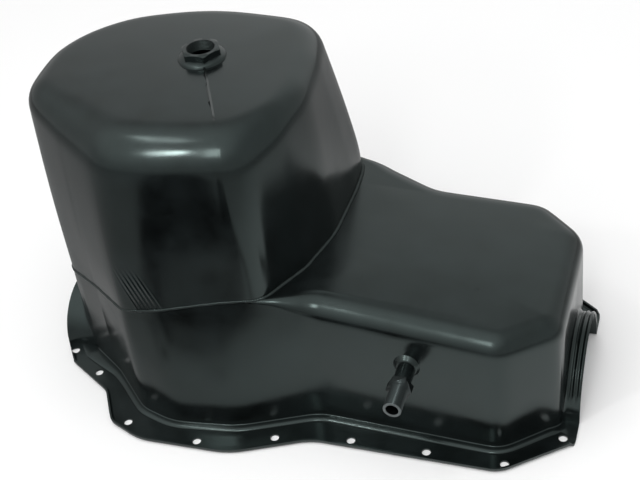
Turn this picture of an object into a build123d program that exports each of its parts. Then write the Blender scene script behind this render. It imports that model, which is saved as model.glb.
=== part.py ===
from build123d import *
import os

# Engine oil pan, lying upside down on its mounting rail with the deep sump bowl up.
# Millimetres. X runs along the crankshaft, +Z points from the rail face to the bowl floor.
# The origin is on the rail face, under the middle of the pan's length and width.

# ---- driving dimensions -------------------------------------------------------------
sheet = 2.0                  # thickness of both pressings
rail_half_length = 288.6     # middle of the pan to either end of the rail
rail_half_width = 179.0      # middle of the pan to the widest part of the rail
bowl_height = 333.0          # rail face to the outside of the bowl floor
deck_height = 154.6          # rail face to the tray floor, at the middle of the length
deck_slope = 0.069           # fall of the tray floor for each millimetre towards +X
seam_left_height = 86.0      # height of the seam surface beyond the left end
seam_middle_x = -158.0       # a point on the seam surface between the left end and the middle
seam_middle_height = 135.0
join_height = 170.0          # height at which the side walls change their lean

lip_height = 6.0             # stiffening lip turned up along the rail's edge
lip_end = 6.0                # the lip stops this far short of the rail's ends
lip_gap = 130.0              # half-width of the rail's end that has no lip
step_height = 5.2            # raised step round the foot of the walls
step_width = 7.0             # reach of that step beyond the wall
step_edge = 2.4              # rounding of the step's edge
bolt_hole_radius = 4.5       # clearance hole for an 8 mm bolt

deck_edge_radius = 20.0      # rounding where the tray floor meets its walls
floor_edge_radius = 24.0     # rounding where the bowl floor meets its walls

right_arch_radius = 67.5     # half-round seal arch at the right end, outside
left_arch_radius = 54.1      # half-round seal arch at the left end, outside
arch_start = 240.0           # where both arches begin, inside the end walls
arch_root = 272.0            # where both arches leave the end walls
inner_floor = -5.0           # depth to which hollow shapes run below the rail face
deck_left_end = -60.0        # the tray floor runs this far in under the bowl
arch_rib_pitch = 5.0         # spacing of the three ribs on the right arch
arch_rib_height = 1.3        # how far each rib stands proud
arch_rib_radius = 2.1        # round section of each rib
arch_rib_edge = 2.1          # the last rib's centre to the rim
arch_rib_foot_angle = 24.0   # degrees above the rail where the ribs begin

drain_position = (-102.0, 38.0)   # centre of the drain boss on the bowl floor
drain_bore_radius = 14.2         # M30 x 1.5 thread, minor radius
drain_hex_flats = 36.0           # across the flats of the weld nut
drain_height = 11.0              # weld nut above the bowl floor
drain_cone_foot = 20.2           # radius at which the nut's corners are turned off
drain_chamfer = 1.2              # height of the chamfer on the nut's corners
drain_weld_radius = 24.5         # outside of the weld ring
drain_weld_height = 4.5          # weld ring above the bowl floor
drain_weld_bevel = 1.2           # how far the weld ring leans in up its outside
drain_weld_shoulder = 0.55       # share of its height at which it turns to the nut
drain_weld_gap = 0.6             # clearance of its top round the nut's flats
drain_seat_radius = 15.2         # hole in the bowl floor under the nut

side_fitting_x = 128.7           # position of the side fitting along the pan
side_fitting_z = 94.0            # height of its axis above the rail face
bung_radius = 9.0                # welded socket, outside
bung_end_y = -138.0              # open end of the socket
bung_bore_radius = 6.4           # passage through the socket
hex_flats = 22.0                 # across the flats of the screwed adapter
hex_end_y = -147.5               # outer face of the adapter's hexagon
tube_end_y = -172.0              # open end of the adapter's tube
tube_radius = 8.9                # outside of the tube
tube_bore_radius = 6.3           # passage through the adapter
bung_passage_length = 100.0      # length of the drill that opens the near wall for it
bung_root_y = -100.0             # the socket is drawn from here, inside the wall
bung_weld_y = -117.0             # outer end of the weld ring round the socket
bung_weld_rim = 0.8              # width of the weld ring at that end
bung_weld_taper = 40.0           # degrees at which the ring widens towards the wall

weld_reach = 2.6                 # how far the seam bead stands off the walls
weld_half_height = 2.8           # half the height of the seam bead

# ---- outlines: each corner is (x, y, rounding radius), anticlockwise from above ----------
# Left walls, shared by the tray and the bowl: far side first, then the near side.
left_far_foot = [(-130, 154, 90), (-215, 124, 50), (-252, 84, 50), (-270, 42, 30)]
left_far_join = [(-130, 152, 90), (-214, 122, 50), (-251, 82, 50), (-270, 40, 30)]
left_far_top = [(-132, 157, 200), (-219, 128, 105), (-260, 88, 115), (-278, 42, 75)]
left_near_foot = [(-270, -45, 40), (-207, -88, 60), (-158, -137, 25), (-120, -150, 60), (-50, -143.5, 90)]
left_near_join = [(-270, -38, 40), (-213, -84, 200), (-159, -127, 16), (-120, -128, 100), (-50, -113, 200)]
left_near_top = [(-272, -34, 40), (-214, -76, 150), (-155, -114, 55), (-118, -116, 200), (-52, -109, 180)]

# Right walls of the tray.
tray_right_foot = [(30, -108, 60), (219, -119.5, 30), (274, -72.5, 26),
                   (274, 76, 30), (226, 119.5, 34), (110, 119, 50), (44, 150, 60)]
tray_right_join = [(32, -104.5, 120), (221, -116, 30), (271.5, -72.84, 26),
                   (271.5, 74.7, 30), (227, 115.03, 34), (110, 114.53, 50), (44, 146, 60)]

# Right walls of the bowl, which stand on the tray floor.
bowl_right_wall = [(14, -55, 60), (27, 5, 100), (28, 80, 120)]
bowl_right_top = [(8, -50, 60), (17, 3, 100), (5, 76, 120)]
bowl_corner_share = 0.45     # how far along the tray's near wall the bowl turns inwards
bowl_near_corner_radius = 25.0
bowl_near_top_corner = (-17, -97, 46)
bowl_far_corner_x = 24.0
bowl_far_corner_radius = 38.0
bowl_far_top_corner = (-14, 139, 42)

# Corners of the neck that lie outside the tray's walls.
neck_left_corners = [(-400, 300, 1), (-400, -300, 1), (-140, -140, 1)]
neck_far_corner = (-60, 190, 1)
neck_far_turn_y = 155

# Outer edge of the rail.
rail_outline = [(-288.6, -72.5, 4), (-210.5, -121, 22), (-186, -162.5, 20), (-148, -179, 60),
                (-48, -179, 90), (30, -145.5, 60), (223, -148.3, 30), (288.6, -97, 12),
                (288.6, 97, 12), (223, 148.3, 30), (117, 146, 60), (61, 179, 70),
                (-134, 179, 90), (-229, 145.5, 50), (-288.6, 81.3, 10)]

# Bolt holes: one row on each side, then the two pairs beside the arches.
deck_bolts = [(x, side * 136) for side in (-1, 1) for x in (148, 226)]
right_bolts = [(276, side * 91.5) for side in (-1, 1)]
left_bolts = [(-274, side * 66.4) for side in (-1, 1)]
near_bolts = [(-231.7, -94.2), (-168.5, -157.5), (-86, -168.4), (-7.8, -147.8), (70, -136)]
far_bolts = [(-222, 137), (-146, 163.5), (-64, 168), (14, 168), (88, 150.5)]
bolt_holes = deck_bolts + right_bolts + left_bolts + near_bolts + far_bolts


def point_between(start, end, share):
    """Point on the line from start to end, at the given share of its length."""
    return tuple(a + (b - a) * share for a, b in zip(start[:2], end[:2]))


def bowl_corner(left_near, tray_right):
    """Corner where the bowl leaves the tray's near wall."""
    return (*point_between(left_near[-1], tray_right[0], bowl_corner_share), bowl_near_corner_radius)


def far_corner(left_far, tray_right):
    """Corner where the bowl leaves the tray's far wall."""
    start = tray_right[-1]
    end = left_far[0]
    share = (start[0] - bowl_far_corner_x) / (start[0] - end[0])
    return (*point_between(start, end, share), bowl_far_corner_radius)


tray_foot = left_far_foot + left_near_foot + tray_right_foot
tray_join = left_far_join + left_near_join + tray_right_join
bowl_foot = (left_far_foot + left_near_foot + [bowl_corner(left_near_foot, tray_right_foot)]
             + bowl_right_wall + [far_corner(left_far_foot, tray_right_foot)])
bowl_join = (left_far_join + left_near_join + [bowl_corner(left_near_join, tray_right_join)]
             + bowl_right_wall + [far_corner(left_far_join, tray_right_join)])
neck_outline = (neck_left_corners + [bowl_corner(left_near_join, tray_right_join)] + bowl_right_wall
                + [(bowl_far_corner_x, neck_far_turn_y, bowl_far_corner_radius), neck_far_corner])
bowl_sections = [(inner_floor, bowl_foot), (join_height, bowl_join)]
bowl_top = left_far_top + left_near_top + [bowl_near_top_corner] + bowl_right_top + [bowl_far_top_corner]


def outline(corners, inset=0.0):
    """Closed outline with rounded corners, moved inwards by the inset."""
    with BuildSketch() as shape:
        with BuildLine():
            FilletPolyline(*[(x, y) for x, y, _ in corners],
                           radius=[r for _, _, r in corners], close=True)
        make_face()
        if inset:
            offset(amount=-inset)
    return shape.sketch


def walls(sections, inset=0.0):
    """Solid between stacked outlines, each given as (height, corners), with straight walls."""
    with BuildPart() as body:
        for height, corners in sections:
            with BuildSketch(Plane.XY.offset(height)):
                add(outline(corners, inset))
        loft(ruled=True)
    return body.part


def below_seam(drop=0.0, floor=0.0):
    """Block under the surface that holds the weld seam and the tray floor."""
    reach = rail_half_length + 30
    end_height = deck_height - deck_slope * reach
    with BuildPart() as body:
        with BuildSketch(Plane.XZ):
            with BuildLine():
                Line((0, deck_height - drop), (reach, end_height - drop))
                Line((reach, end_height - drop), (reach, floor))
                Line((reach, floor), (-reach, floor))
                Line((-reach, floor), (-reach, seam_left_height - drop))
                ThreePointArc((-reach, seam_left_height - drop),
                              (seam_middle_x, seam_middle_height - drop), (0, deck_height - drop))
            make_face()
        extrude(amount=2 * rail_half_width, both=True)
    return body.part


def deck(inset=0.0, floor=0.0):
    """Right part of the tray, with the rounded edge of its floor."""
    deck_plane = Plane(origin=(0, 0, deck_height - inset), x_dir=(1, 0, -deck_slope),
                       z_dir=(deck_slope, 0, 1))
    seam_block = below_seam(inset, floor)
    outer_walls = walls([(inner_floor, tray_foot), (join_height, tray_join)], inset)
    with BuildPart() as body:
        add(outer_walls)
        split(bisect_by=deck_plane, keep=Keep.BOTTOM)
        split(bisect_by=Plane.YZ.offset(deck_left_end), keep=Keep.TOP)
        floor_face = body.faces().sort_by(Axis((0, 0, 0), deck_plane.z_dir))[-1]
        edges = [e for e in floor_face.edges() if e.bounding_box().max.X > deck_left_end + 1]
        fillet(edges, deck_edge_radius - inset)
        add(seam_block, mode=Mode.INTERSECT)
    return body.part


def neck(inset=0.0, floor=0.0):
    """Left part of the tray, whose walls run up to the bowl; its inside runs on through the seam."""
    seam_block = below_seam()
    tray_walls = walls([(inner_floor, tray_foot), (join_height, tray_join)], inset)
    with BuildPart() as body:
        with BuildSketch(Plane.XY.offset(floor)):
            add(outline(neck_outline, inset))
        extrude(amount=join_height - floor)
        add(tray_walls, mode=Mode.INTERSECT)
        if not inset:
            add(seam_block, mode=Mode.INTERSECT)
    return body.part


def step(inset=0.0, floor=0.0):
    """Raised step round the foot of the walls, with a rounded edge."""
    with BuildPart() as body:
        with BuildSketch(Plane.XY.offset(floor)):
            add(outline(tray_foot, inset - step_width))
        extrude(amount=step_height - inset - floor)
        fillet(body.faces().sort_by(Axis.Z)[-1].edges(), step_edge)
        with BuildSketch(Plane.XY.offset(floor)):
            Rectangle(2 * arch_root, 2 * rail_half_width)
        extrude(amount=step_height - floor, mode=Mode.INTERSECT)
    return body.part


def arches(inset=0.0, floor=0.0):
    """Half-round seats for the crankshaft seals, one at each end."""
    with BuildPart() as body:
        for side, radius in ((1, right_arch_radius - inset), (-1, left_arch_radius - inset)):
            with BuildSketch(Plane.YZ.offset(side * arch_start)):
                Circle(radius)
                Rectangle(2 * radius, radius, align=(Align.CENTER, Align.MAX), mode=Mode.SUBTRACT)
                if floor < 0:
                    Rectangle(2 * radius, -floor, align=(Align.CENTER, Align.MAX))
            extrude(amount=side * (rail_half_length - floor - arch_start))
    return body.part


def rib(x, radius, angle):
    """Rib round an arch, from the given angle above the rail to the same angle beyond the top."""
    start_plane = Plane(origin=(0, 0, 0), x_dir=(1, 0, 0), z_dir=Vector(0, 0, -1).rotate(Axis.X, -angle))
    with BuildPart() as body:
        with BuildSketch(start_plane):
            with Locations((x, radius)):
                Circle(arch_rib_radius)
        revolve(axis=Axis((0, 0, 0), (-1, 0, 0)), revolution_arc=180 - 2 * angle)
    return body.part


def hexagon_radius(flats):
    """Corner radius of a hexagon with the given width across its flats."""
    return flats / 3 ** 0.5


with BuildPart() as tray_solid:
    for body in (neck(), deck(), step(), arches()):
        add(body)
tray_outside = tray_solid.part
tray_inside = [make(sheet, inner_floor) for make in (step, arches, neck, deck)]
rib_positions = [rail_half_length - arch_rib_edge - n * arch_rib_pitch for n in range(3)]
ribs = [rib(x, right_arch_radius + arch_rib_height - arch_rib_radius, arch_rib_foot_angle)
        for x in rib_positions]
grooves = [rib(x, right_arch_radius + arch_rib_height - arch_rib_radius - sheet, arch_rib_foot_angle)
           for x in rib_positions]

with BuildPart() as upper_tray:
    add(tray_outside)
    add(ribs)
    with BuildSketch():
        add(outline(rail_outline))
    extrude(amount=sheet)
    with BuildSketch():
        add(outline(rail_outline))
        add(outline(rail_outline, sheet), mode=Mode.SUBTRACT)
        with Locations((rail_half_length, 0), (-rail_half_length, 0)):
            Rectangle(2 * lip_end, 2 * lip_gap, mode=Mode.SUBTRACT)
    extrude(amount=lip_height)
    for body in tray_inside:
        add(body, mode=Mode.SUBTRACT)
    add(grooves, mode=Mode.SUBTRACT)
    with BuildSketch():
        with Locations(*bolt_holes):
            Circle(bolt_hole_radius)
    extrude(amount=lip_height, mode=Mode.SUBTRACT)
    with Locations((side_fitting_x, bung_end_y, side_fitting_z)):
        Cylinder(bung_bore_radius, bung_passage_length, rotation=(90, 0, 0), mode=Mode.SUBTRACT)


def bowl_body(inset=0.0):
    """Bowl from below the seam to its floor, with the rounded edge of the floor."""
    with BuildPart() as body:
        add(walls(bowl_sections + [(bowl_height - inset, bowl_top)], inset))
        fillet(body.faces().sort_by(Axis.Z)[-1].edges(), floor_edge_radius - inset)
    return body.part


seam_block = below_seam(0.0, 2 * inner_floor)
bowl_outside = bowl_body()
bowl_inside = bowl_body(sheet)

with BuildPart() as sump_bowl:
    add(bowl_outside)
    add(seam_block, mode=Mode.SUBTRACT)
    add(bowl_inside, mode=Mode.SUBTRACT)
    with Locations((*drain_position, bowl_height)):
        Cylinder(drain_seat_radius, 4 * sheet, mode=Mode.SUBTRACT)

with BuildPart() as bowl_seam_weld:
    add(walls(bowl_sections, -weld_reach))
    add(below_seam(-weld_half_height), mode=Mode.INTERSECT)
    add(below_seam(weld_half_height), mode=Mode.SUBTRACT)
    add(walls(bowl_sections), mode=Mode.SUBTRACT)
    add(tray_outside, mode=Mode.SUBTRACT)

# Drain boss: hexagonal weld nut on the bowl floor, and the weld round its foot.
drain_plane = Plane.XY.offset(bowl_height)
with BuildPart() as drain_boss:
    with BuildSketch(drain_plane):
        with Locations(drain_position):
            RegularPolygon(hexagon_radius(drain_hex_flats), 6)
            Circle(drain_bore_radius, mode=Mode.SUBTRACT)
    extrude(amount=drain_height)
    with BuildSketch(Plane.XZ.offset(-drain_position[1])):
        with BuildLine():
            Polyline((drain_position[0], bowl_height), (drain_cone_foot + drain_position[0], bowl_height),
                     (drain_cone_foot + drain_position[0], bowl_height + drain_height - drain_chamfer),
                     (drain_cone_foot + drain_position[0] - 2 * drain_chamfer, bowl_height + drain_height),
                     (drain_position[0], bowl_height + drain_height), close=True)
        make_face()
    revolve(axis=Axis((*drain_position, 0), (0, 0, 1)), mode=Mode.INTERSECT)

with BuildPart() as drain_boss_weld:
    with BuildSketch(Plane.XZ.offset(-drain_position[1])):
        with BuildLine():
            Polyline((drain_position[0] + drain_seat_radius, bowl_height),
                     (drain_position[0] + drain_weld_radius, bowl_height),
                     (drain_position[0] + drain_weld_radius - drain_weld_bevel,
                      bowl_height + drain_weld_shoulder * drain_weld_height),
                     (drain_position[0] + drain_hex_flats / 2 + drain_weld_gap, bowl_height + drain_weld_height),
                     (drain_position[0] + drain_seat_radius, bowl_height + drain_weld_height), close=True)
        make_face()
    revolve(axis=Axis((*drain_position, 0), (0, 0, 1)))
    with BuildSketch(drain_plane):
        with Locations(drain_position):
            RegularPolygon(hexagon_radius(drain_hex_flats), 6)
    extrude(amount=drain_height, mode=Mode.SUBTRACT)

# Side fitting: a socket welded in the near wall, and the adapter screwed into it.
with BuildPart() as side_bung:
    with BuildSketch(Plane.XZ.offset(-bung_end_y)):
        with Locations((side_fitting_x, side_fitting_z)):
            Circle(bung_radius)
            Circle(bung_bore_radius, mode=Mode.SUBTRACT)
    extrude(amount=bung_end_y - bung_root_y)
    add(tray_outside, mode=Mode.SUBTRACT)

with BuildPart() as side_bung_weld:
    with BuildSketch(Plane.XZ.offset(-bung_weld_y)):
        with Locations((side_fitting_x, side_fitting_z)):
            Circle(bung_radius + bung_weld_rim)
    extrude(amount=bung_weld_y - bung_root_y, taper=-bung_weld_taper)
    with BuildSketch(Plane.XZ.offset(-bung_weld_y)):
        with Locations((side_fitting_x, side_fitting_z)):
            Circle(bung_radius)
    extrude(amount=bung_weld_y - bung_root_y, mode=Mode.SUBTRACT)
    add(tray_outside, mode=Mode.SUBTRACT)

with BuildPart() as hose_adapter:
    with BuildSketch(Plane.XZ.offset(-hex_end_y)):
        with Locations((side_fitting_x, side_fitting_z)):
            RegularPolygon(hexagon_radius(hex_flats), 6)
    extrude(amount=hex_end_y - bung_end_y)
    with BuildSketch(Plane.XZ.offset(-tube_end_y)):
        with Locations((side_fitting_x, side_fitting_z)):
            Circle(tube_radius)
    extrude(amount=tube_end_y - hex_end_y)
    with BuildSketch(Plane.XZ.offset(-tube_end_y)):
        with Locations((side_fitting_x, side_fitting_z)):
            Circle(tube_bore_radius)
    extrude(amount=tube_end_y - bung_end_y, mode=Mode.SUBTRACT)

os.makedirs("parts", exist_ok=True)
pieces = {
    "upper_tray": upper_tray,
    "sump_bowl": sump_bowl,
    "bowl_seam_weld": bowl_seam_weld,
    "drain_boss": drain_boss,
    "drain_boss_weld": drain_boss_weld,
    "side_bung": side_bung,
    "side_bung_weld": side_bung_weld,
    "hose_adapter": hose_adapter,
}
for name, piece in pieces.items():
    piece.part.label = name
    export_step(piece.part, f"parts/{name}.step")
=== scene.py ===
"""Looks of an engine oil pan: pressed steel tray and bowl, weld beads, drain boss and side fitting."""

import bisect
import logging
import math
from dataclasses import dataclass, field
from enum import Enum

import bmesh
import bpy
from mathutils import Matrix, Vector, noise


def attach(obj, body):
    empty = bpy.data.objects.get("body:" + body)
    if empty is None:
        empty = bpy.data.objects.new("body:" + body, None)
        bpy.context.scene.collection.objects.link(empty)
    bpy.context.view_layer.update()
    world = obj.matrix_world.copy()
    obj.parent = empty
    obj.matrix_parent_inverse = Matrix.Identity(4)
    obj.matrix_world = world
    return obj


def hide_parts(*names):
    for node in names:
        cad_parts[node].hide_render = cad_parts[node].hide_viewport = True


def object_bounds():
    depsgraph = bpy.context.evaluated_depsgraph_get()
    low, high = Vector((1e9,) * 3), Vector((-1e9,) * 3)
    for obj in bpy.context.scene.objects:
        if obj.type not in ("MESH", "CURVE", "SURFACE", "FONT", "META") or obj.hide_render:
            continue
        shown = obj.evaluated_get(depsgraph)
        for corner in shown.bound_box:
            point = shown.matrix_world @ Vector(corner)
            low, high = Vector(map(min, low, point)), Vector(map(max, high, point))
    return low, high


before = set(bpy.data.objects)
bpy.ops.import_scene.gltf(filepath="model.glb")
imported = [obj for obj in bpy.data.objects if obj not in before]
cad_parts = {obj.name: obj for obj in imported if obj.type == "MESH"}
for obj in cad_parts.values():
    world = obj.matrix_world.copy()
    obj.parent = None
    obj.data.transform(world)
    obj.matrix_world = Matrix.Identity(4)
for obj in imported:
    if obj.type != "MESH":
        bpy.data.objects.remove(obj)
CAD_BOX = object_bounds()

LOG = logging.getLogger("oil_pan")
MM = 0.001

Corner = tuple[float, float, float]
Loop = list[Vector]


class Slot(Enum):
    """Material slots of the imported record."""

    ENAMEL = "black_enamel"
    WELD = "weld_enamel"
    BOSS = "boss_enamel"
    STEEL = "blackened_steel"


# ---- outlines shared by the pressings ----------------------------------------------------


def rounded_outline(corners: list[Corner], arc_steps: int, side_steps: int) -> Loop:
    """Samples a closed outline with rounded corners.

    Args:
        corners: (x, y, rounding radius) in millimetres, anticlockwise from above.
        arc_steps: steps along each corner's rounding.
        side_steps: steps along each straight side.

    Returns:
        Points in millimetres, the same number for any outline with as many corners.
    """
    arcs: list[Loop] = []
    count = len(corners)
    for index, (x, y, radius) in enumerate(corners):
        here = Vector((x, y))
        before = Vector(corners[index - 1][:2])
        after = Vector(corners[(index + 1) % count][:2])
        heading = (here - before).normalized()
        leaving = (after - here).normalized()
        turn = math.atan2(heading.x * leaving.y - heading.y * leaving.x, heading.dot(leaving))
        start = here - heading * radius * math.tan(abs(turn) / 2)
        centre = start + Vector((-heading.y, heading.x)) * math.copysign(radius, turn)
        spoke = start - centre
        turns = [turn * step / arc_steps for step in range(arc_steps + 1)]
        arcs.append([centre + Matrix.Rotation(angle, 2) @ spoke for angle in turns])
    points: Loop = []
    for index, arc in enumerate(arcs):
        following = arcs[(index + 1) % count][0]
        points += arc
        points += [arc[-1].lerp(following, step / side_steps) for step in range(1, side_steps)]
    return points


def softened(loop: Loop, reach: float, passes: int = 3) -> Loop:
    """Closed loop whose roundings run gently into its straight sides, as sheet metal bends.

    Args:
        loop: points in millimetres.
        reach: how far along the loop each point looks, both ways.
        passes: times the loop is evened out.

    Returns:
        As many points, each moved a little towards the chord of its neighbourhood.
    """
    count = len(loop)
    for _ in range(passes):
        sums = [0.0]
        for index in range(count):
            sums.append(sums[-1] + (loop[(index + 1) % count] - loop[index]).length)
        total = sums[-1]

        def at(distance: float, sums: list[float] = sums, loop: Loop = loop, total: float = total) -> Vector:
            """Point at a distance along the loop."""
            distance %= total
            leg = min(bisect.bisect_right(sums, distance), count) - 1
            share = (distance - sums[leg]) / max(sums[leg + 1] - sums[leg], 1e-9)
            return loop[leg].lerp(loop[(leg + 1) % count], share)

        loop = [(at(passed - reach) + 2 * point + at(passed + reach)) / 4
                for passed, point in zip(sums, loop)]
    return loop


def outward(loop: Loop) -> Loop:
    """Unit normals of an anticlockwise loop, pointing out of it."""
    count = len(loop)
    normals: Loop = []
    for index in range(count):
        along = loop[(index + 1) % count] - loop[index - 1]
        normals.append(Vector((along.y, -along.x)).normalized())
    return normals


def smooth_share(value: float, low: float, high: float) -> float:
    """Smooth step from 0 at the low value to 1 at the high one."""
    share = min(max((value - low) / (high - low), 0.0), 1.0)
    return share * share * (3 - 2 * share)


def spread(line: Loop, guide: Loop, pace: tuple[tuple[float, float], ...]) -> Loop:
    """Points along a line, one for each point of a guide.

    Args:
        line: where the points lie.
        guide: points whose shares of the guide's length set the pace.
        pace: (share of the guide, share of the line) at which both ends and the bends lie.

    Returns:
        As many points as the guide has.
    """
    def lengths(points: Loop) -> list[float]:
        """Distance of each point from the first, along the line."""
        sums = [0.0]
        for start, end in zip(points, points[1:]):
            sums.append(sums[-1] + (end - start).length)
        return sums

    own, guiding = lengths(line), lengths(guide)
    result: Loop = []
    index = 0
    for distance in guiding:
        passed = distance / guiding[-1]
        leg = next(k for k in range(1, len(pace)) if passed <= pace[k][0] + 1e-9)
        (low, low_goal), (high, high_goal) = pace[leg - 1], pace[leg]
        goal = (low_goal + (high_goal - low_goal) * (passed - low) / (high - low)) * own[-1]
        while index < len(line) - 2 and own[index + 1] < goal:
            index += 1
        share = (goal - own[index]) / max(own[index + 1] - own[index], 1e-9)
        result.append(line[index].lerp(line[index + 1], min(max(share, 0.0), 1.0)))
    return result


def lifted(point: Vector, height: float) -> Vector:
    """Point of an outline at the given height, in metres."""
    return Vector((point.x, point.y, height)) * MM


@dataclass
class Seam:
    """Curved surface that holds the weld between the tray and the bowl."""

    left_x: float = -318.6
    left_height: float = 86.0
    middle_x: float = -158.0
    middle_height: float = 135.0
    deck_height: float = 154.6
    deck_slope: float = 0.069

    def __post_init__(self) -> None:
        """Finds the circle through the three points of the seam's arc."""
        ax, ay = self.left_x, self.left_height
        bx, by = self.middle_x, self.middle_height
        cx, cy = 0.0, self.deck_height
        scale = 2 * (ax * (by - cy) + bx * (cy - ay) + cx * (ay - by))
        a_square, b_square, c_square = ax * ax + ay * ay, bx * bx + by * by, cx * cx + cy * cy
        self.centre_x = (a_square * (by - cy) + b_square * (cy - ay) + c_square * (ay - by)) / scale
        self.centre_z = (a_square * (cx - bx) + b_square * (ax - cx) + c_square * (bx - ax)) / scale
        self.radius = math.hypot(ax - self.centre_x, ay - self.centre_z)

    def height(self, x: float) -> float:
        """Height of the seam at the given place along the pan."""
        if x > 0:
            return self.deck_height - self.deck_slope * x
        return self.centre_z + math.sqrt(max(self.radius ** 2 - (x - self.centre_x) ** 2, 0.0))


@dataclass
class Walls:
    """Side walls between stacked outlines, with a soft change of lean at the middle one."""

    sections: list[tuple[float, list[Corner]]]
    arc_steps: int = 10
    side_steps: int = 8
    softness: float = 26.0
    blends: tuple[float, float, float] = (4.0, 4.0, 10.0)

    def __post_init__(self) -> None:
        """Samples each outline once."""
        self.heights = [height for height, _ in self.sections]
        self.loops = [softened(rounded_outline(corners, self.arc_steps, self.side_steps), blend)
                      for (_, corners), blend in zip(self.sections, self.blends)]

    def column(self, index: int, height: float) -> Vector:
        """Point of one upright line of the walls at a height."""
        low, middle = self.loops[0][index], self.loops[1][index]
        lower_slope = (middle - low) / (self.heights[1] - self.heights[0])
        if len(self.loops) == 2:
            return low + lower_slope * (height - self.heights[0])
        upper_slope = (self.loops[2][index] - middle) / (self.heights[2] - self.heights[1])
        above = height - self.heights[1]
        if above <= -self.softness:
            return middle + lower_slope * above
        if above >= self.softness:
            return middle + upper_slope * above
        bend = (above + self.softness) ** 2 / (4 * self.softness)
        return middle + lower_slope * above + (upper_slope - lower_slope) * bend

    def seam_height(self, index: int, seam: Seam) -> float:
        """Height at which one upright line meets the seam."""
        height = seam.middle_height
        for _ in range(6):
            height = seam.height(self.column(index, height).x)
        return height


def share_point(start: Corner, end: Corner, share: float) -> tuple[float, float]:
    """Point on the line between two corners, at a share of its length."""
    return start[0] + (end[0] - start[0]) * share, start[1] + (end[1] - start[1]) * share


LEFT_FAR_FOOT: list[Corner] = [(-130, 154, 90), (-215, 124, 50), (-252, 84, 50), (-270, 42, 30)]
LEFT_FAR_JOIN: list[Corner] = [(-130, 152, 90), (-214, 122, 50), (-251, 82, 50), (-270, 40, 30)]
LEFT_FAR_TOP: list[Corner] = [(-132, 157, 200), (-219, 128, 105), (-260, 88, 115), (-278, 42, 75)]
LEFT_NEAR_FOOT: list[Corner] = [(-270, -45, 40), (-207, -88, 60), (-158, -137, 25), (-120, -150, 60),
                                (-50, -143.5, 90)]
LEFT_NEAR_JOIN: list[Corner] = [(-270, -38, 40), (-213, -84, 200), (-159, -127, 16), (-120, -128, 100),
                                (-50, -113, 200)]
LEFT_NEAR_TOP: list[Corner] = [(-272, -34, 40), (-214, -76, 150), (-155, -114, 55), (-118, -116, 200),
                               (-52, -109, 150)]
TRAY_RIGHT_FOOT: list[Corner] = [(30, -108, 60), (219, -119.5, 30), (274, -72.5, 26), (274, 76, 30),
                                 (226, 119.5, 34), (110, 119, 50), (44, 150, 60)]
TRAY_RIGHT_JOIN: list[Corner] = [(32, -104.5, 120), (221, -116, 30), (271.5, -72.84, 26), (271.5, 74.7, 30),
                                 (227, 115.03, 34), (110, 114.53, 50), (44, 146, 60)]
BOWL_RIGHT_WALL: list[Corner] = [(14, -55, 60), (27, 5, 100), (28, 80, 120)]
BOWL_RIGHT_TOP: list[Corner] = [(8, -50, 60), (17, 3, 100), (5, 76, 120)]
BOWL_NEAR_TOP_CORNER: Corner = (-16, -98, 46)
BOWL_FAR_TOP_CORNER: Corner = (-13, 142, 42)
FOOT_HEIGHT = -5.0
JOIN_HEIGHT = 170.0
BOWL_HEIGHT = 333.0
DRAIN_X = -102.0
DRAIN_Y = 38.0


def bowl_outline(left_far: list[Corner], left_near: list[Corner], tray_right: list[Corner]) -> list[Corner]:
    """Outline of the bowl where it stands on the tray.

    Args:
        left_far: far corners of the left walls.
        left_near: near corners of the left walls.
        tray_right: corners of the tray's right walls at the same height.

    Returns:
        Corners of the closed outline.
    """
    near = (*share_point(left_near[-1], tray_right[0], 0.45), 25.0)
    start, end = tray_right[-1], left_far[0]
    far = (*share_point(start, end, (start[0] - 24.0) / (start[0] - end[0])), 38.0)
    return left_far + left_near + [near] + BOWL_RIGHT_WALL + [far]


def bowl_sections() -> list[tuple[float, list[Corner]]]:
    """Outlines of the bowl at the foot and at the join."""
    return [(FOOT_HEIGHT, bowl_outline(LEFT_FAR_FOOT, LEFT_NEAR_FOOT, TRAY_RIGHT_FOOT)),
            (JOIN_HEIGHT, bowl_outline(LEFT_FAR_JOIN, LEFT_NEAR_JOIN, TRAY_RIGHT_JOIN))]


# ---- mesh helpers ------------------------------------------------------------------------


class Skin:
    """Sheet that grows ring by ring from a first closed ring of edges."""

    def __init__(self, places: Loop) -> None:
        """Starts the sheet from a circle laid over the given places."""
        self.mesh = bmesh.new()
        ring = bmesh.ops.create_circle(self.mesh, segments=len(places), radius=1.0)["verts"]
        self.edges = list(self.mesh.edges)
        self.verts = list(ring)
        self.lay(places)

    def lay(self, places: Loop) -> None:
        """Moves the newest ring to the given places."""
        for vert, place in zip(self.verts, places):
            vert.co = place

    def grow(self, places: Loop) -> None:
        """Extrudes the newest ring to the given places."""
        result = bmesh.ops.extrude_edge_only(self.mesh, edges=self.edges)["geom"]
        fresh = {item for item in result if isinstance(item, bmesh.types.BMVert)}
        ring = []
        for vert in self.verts:
            others = (edge.other_vert(vert) for edge in vert.link_edges)
            ring.append(next(other for other in others if other in fresh))
        self.edges = [item for item in result if isinstance(item, bmesh.types.BMEdge)
                      and item.verts[0] in fresh and item.verts[1] in fresh]
        self.verts = ring
        self.lay(places)


def placed(name: str, mesh: bmesh.types.BMesh) -> bpy.types.Object:
    """Frees a bmesh into a new object in the scene."""
    data = bpy.data.meshes.new(name)
    mesh.to_mesh(data)
    mesh.free()
    piece = bpy.data.objects.new(name, data)
    bpy.context.scene.collection.objects.link(piece)
    return piece


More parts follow.
